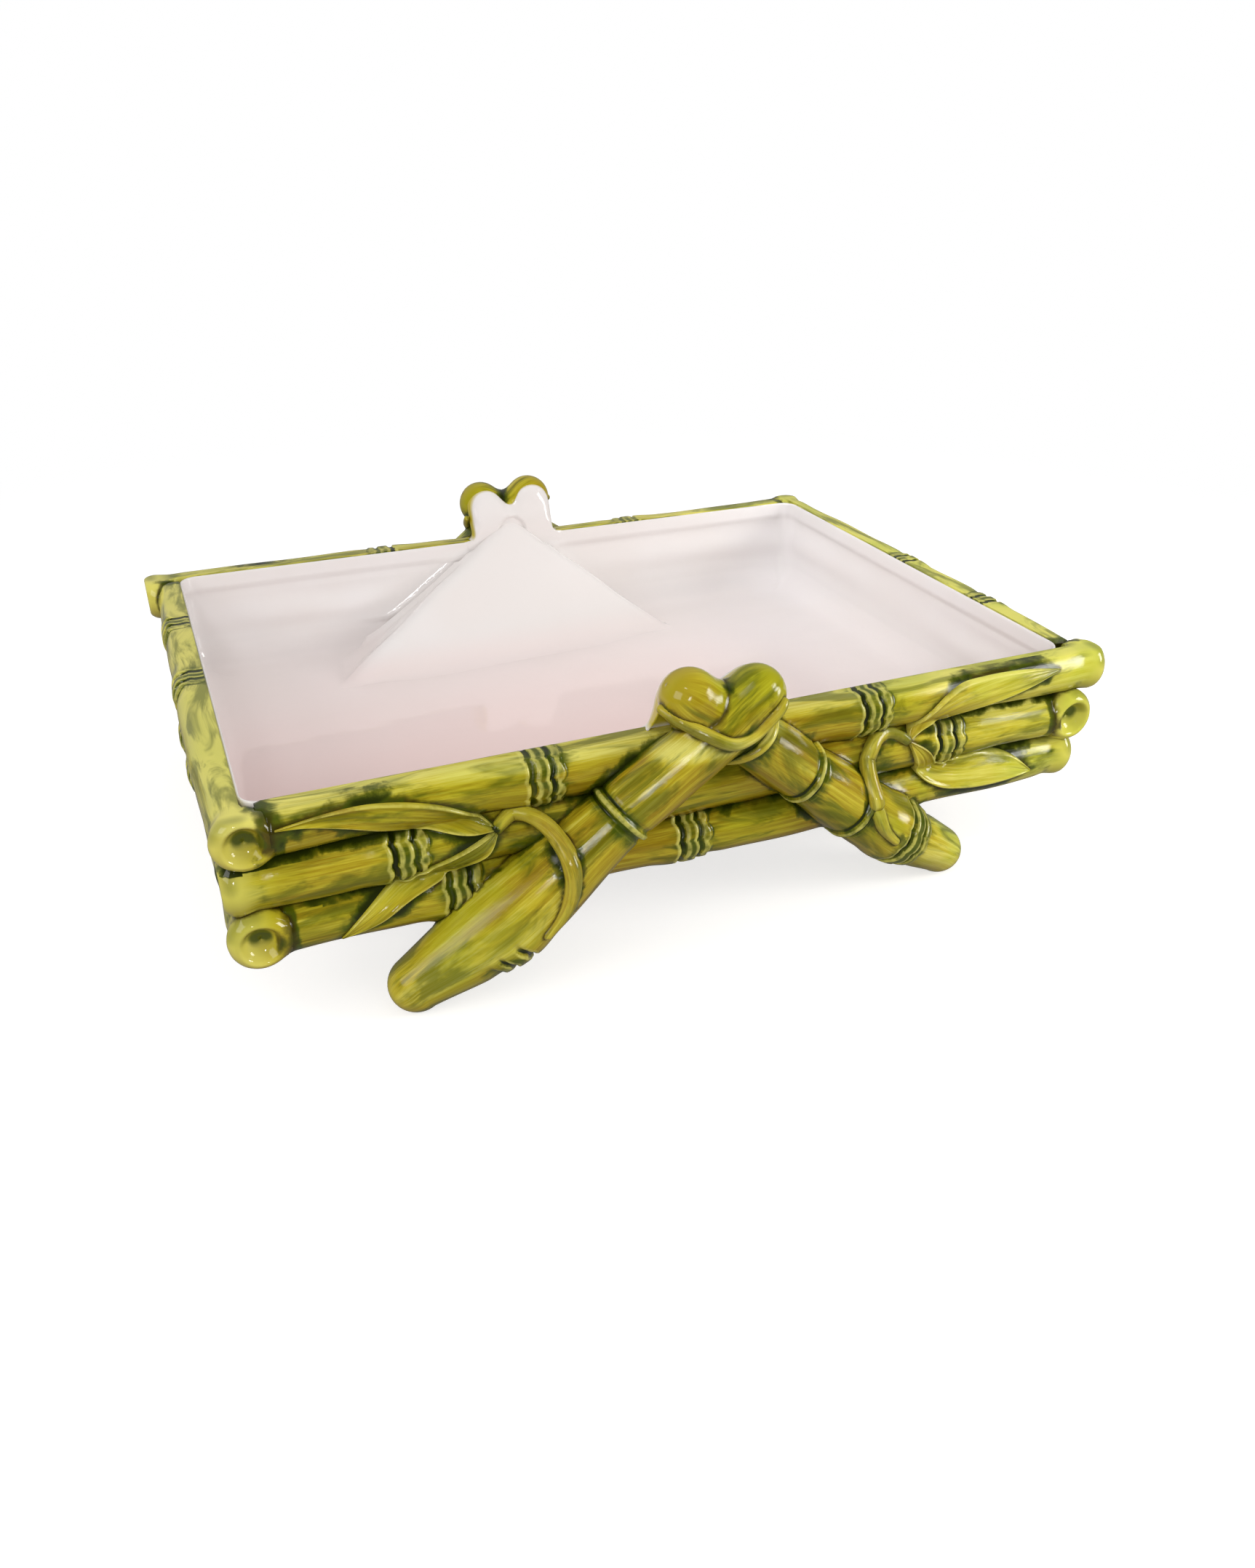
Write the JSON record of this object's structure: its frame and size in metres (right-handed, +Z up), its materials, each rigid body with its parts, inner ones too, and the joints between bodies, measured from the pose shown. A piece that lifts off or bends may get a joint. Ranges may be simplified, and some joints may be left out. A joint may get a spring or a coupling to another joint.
{
  "type": "footed serving tray",
  "caption": "Rectangular ceramic serving tray formed as stacked bamboo canes around a white basin, standing on crossed cane legs with leaf sprigs.",
  "frame": {"origin": "on the table, under the middle of the tray", "axes": "+X along the tray's long side, +Y to its back, +Z up"},
  "size_m": [0.373, 0.2994, 0.1172],
  "materials": {
    "white_glaze": "glossy white glaze with a pale pink wash on the floor",
    "cane_glaze": "glossy brushed green and yellow-brown glaze",
    "leg_glaze": "glossy brushed green and yellow-brown glaze",
    "leaf_glaze": "glossy brushed green glaze",
    "tie_glaze": "glossy brushed green glaze"
  },
  "bodies": {
    "root": {"back_top_cane": "cane_glaze", "left_top_cane": "cane_glaze", "back_middle_cane": "cane_glaze", "left_middle_cane": "cane_glaze", "back_bottom_cane": "cane_glaze", "left_bottom_cane": "cane_glaze", "back_right_leg": "leg_glaze", "back_left_leg": "leg_glaze", "back_tie": "tie_glaze", "back_backing": "white_glaze", "back_right_stem": "leaf_glaze", "back_right_upper_leaf": "leaf_glaze", "back_right_lower_leaf": "leaf_glaze", "back_left_stem": "leaf_glaze", "back_left_upper_leaf": "leaf_glaze", "back_left_lower_leaf": "leaf_glaze", "basin": "white_glaze", "front_top_cane": "cane_glaze", "right_top_cane": "cane_glaze", "front_middle_cane": "cane_glaze", "right_middle_cane": "cane_glaze", "front_bottom_cane": "cane_glaze", "right_bottom_cane": "cane_glaze", "front_left_leg": "leg_glaze", "front_right_leg": "leg_glaze", "front_tie": "tie_glaze", "front_backing": "white_glaze", "front_left_stem": "leaf_glaze", "front_left_upper_leaf": "leaf_glaze", "front_left_lower_leaf": "leaf_glaze", "front_right_stem": "leaf_glaze", "front_right_upper_leaf": "leaf_glaze", "front_right_lower_leaf": "leaf_glaze"}
  },
  "joints": []
}
